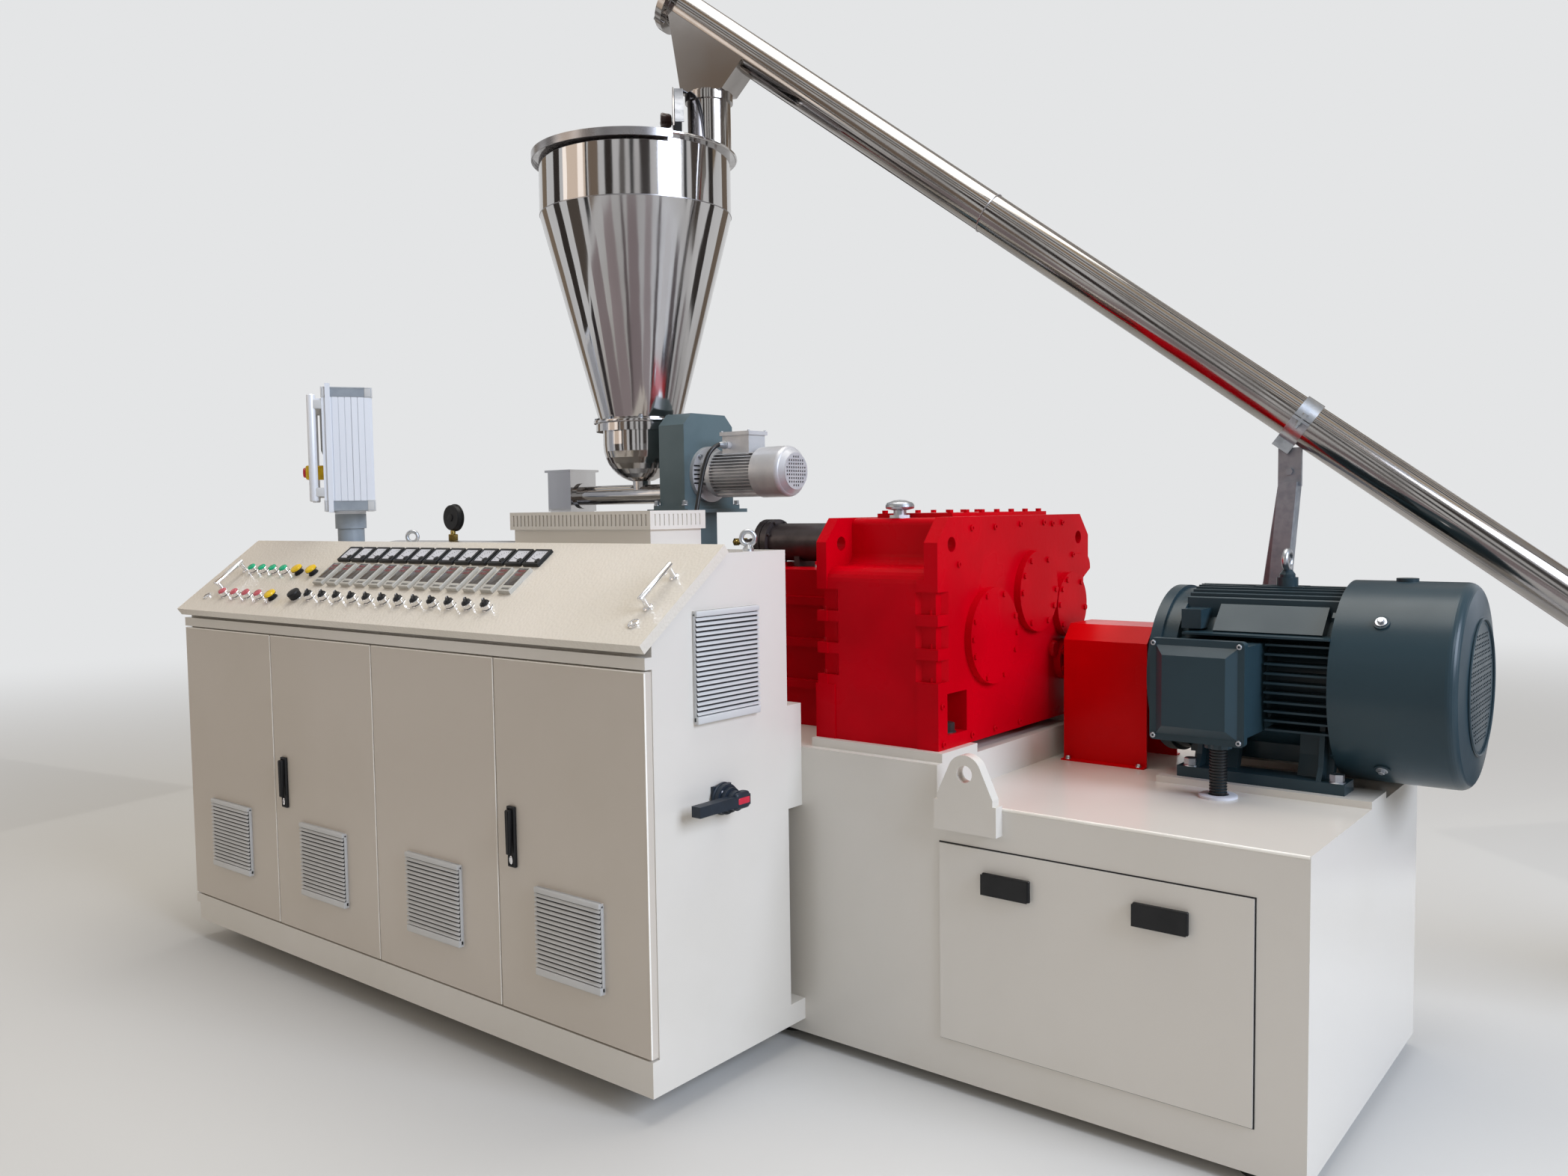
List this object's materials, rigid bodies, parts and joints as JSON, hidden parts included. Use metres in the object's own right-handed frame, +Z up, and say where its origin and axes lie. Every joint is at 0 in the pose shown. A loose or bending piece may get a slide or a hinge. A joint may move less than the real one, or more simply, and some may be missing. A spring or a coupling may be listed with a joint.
{
  "type": "plastic extruder",
  "caption": "Twin-screw plastic extruder: long welded base, red gearbox, finned drive motor, sloping-console cabinet, steel hopper with feeder and inclined screw loader.",
  "frame": {"origin": "centre of the footprint on the floor", "axes": "+X along the machine towards the drive motor, +Y away from the cabinet doors, +Z up"},
  "size_m": [5.5202, 2.5329, 3.2],
  "materials": {
    "cream_coat": "satin powder coat",
    "red_enamel": "gloss enamel",
    "slate_paint": "semi-gloss",
    "grey_green_paint": "satin",
    "polished_stainless": "mirror polished",
    "bright_steel": "machined",
    "zinc_steel": "galvanised",
    "chrome_plate": "polished",
    "dark_iron": "dull",
    "cast_aluminium": "satin",
    "black_plastic": "matt",
    "grey_plastic": "matt",
    "foot_rubber": "matt"
  },
  "bodies": {
    "machine": {"base_frame": "cream_coat", "base_feet": "foot_rubber", "access_panel": "cream_coat", "lifting_lugs": "cream_coat", "gearbox_housing": "red_enamel", "gearbox_covers": "red_enamel", "breather": "chrome_plate", "distribution_box": "red_enamel", "oil_cooler": "dark_iron", "coupling_guard": "red_enamel", "shaft_coupling": "bright_steel", "motor_frame": "slate_paint", "terminal_box": "slate_paint", "motor_cowl": "slate_paint", "barrel": "bright_steel", "barrel_cover": "polished_stainless", "pressure_gauge": "black_plastic", "feed_unit": "polished_stainless", "hopper_shell": "polished_stainless", "hopper_lid": "polished_stainless", "feeder_gearbox": "grey_green_paint", "feeder_motor": "cast_aluminium", "loader_tube": "polished_stainless", "loader_clamp": "polished_stainless", "loader_post": "zinc_steel", "pickup_hopper": "polished_stainless", "loader_motor": "grey_green_paint", "cabinet_body": "cream_coat", "cabinet_plinth": "cream_coat", "vent_hood": "cream_coat", "switch_base": "black_plastic", "screen_pedestal": "grey_green_paint"},
    "door_1": {"door_1": "cream_coat"},
    "door_2": {"door_2": "cream_coat", "door_2_handle": "black_plastic"},
    "door_3": {"door_3": "cream_coat"},
    "door_4": {"door_4": "cream_coat", "door_4_handle": "black_plastic"},
    "console": {"console_lid": "cream_coat", "console_meters": "black_plastic", "console_controllers": "grey_plastic", "console_switches": "black_plastic"},
    "flap": {"hopper_flap": "polished_stainless"},
    "isolator_grip": {"switch_handle": "black_plastic"},
    "screen": {"screen_box": "cast_aluminium"}
  },
  "joints": [
    {"name": "door_1_hinge", "type": "hinge", "parent": "machine", "child": "door_1", "pos_m": [-2.30556, -1.23444, 0.609], "axis": [0, 0, -1], "range_deg": [0, 95]},
    {"name": "door_2_hinge", "type": "hinge", "parent": "machine", "child": "door_2", "pos_m": [-1.22656, -1.23444, 0.609], "axis": [0, 0, 1], "range_deg": [0, 80]},
    {"name": "door_3_hinge", "type": "hinge", "parent": "machine", "child": "door_3", "pos_m": [-1.22156, -1.23444, 0.609], "axis": [0, 0, -1], "range_deg": [0, 80]},
    {"name": "door_4_hinge", "type": "hinge", "parent": "machine", "child": "door_4", "pos_m": [-0.14256, -1.23444, 0.609], "axis": [0, 0, 1], "range_deg": [0, 95]},
    {"name": "console_hinge", "type": "hinge", "parent": "machine", "child": "console", "pos_m": [-1.22406, -0.94454, 1.334], "axis": [-1, 0, 0], "range_deg": [0, 65]},
    {"name": "flap_hinge", "type": "hinge", "parent": "machine", "child": "flap", "pos_m": [-1.09123, -0.10246, 2.618], "axis": [-0.6921, 0.7218, 0], "range_deg": [-60, 5]},
    {"name": "isolator_turn", "type": "hinge", "parent": "machine", "child": "isolator_grip", "pos_m": [-0.10106, -0.98744, 0.726], "axis": [-1, 0, 0], "range_deg": [0, 90]},
    {"name": "screen_swivel", "type": "hinge", "parent": "machine", "child": "screen", "pos_m": [-2.00206, -0.79444, 1.435], "axis": [0, 0, 1], "range_deg": [-45, 45]}
  ]
}
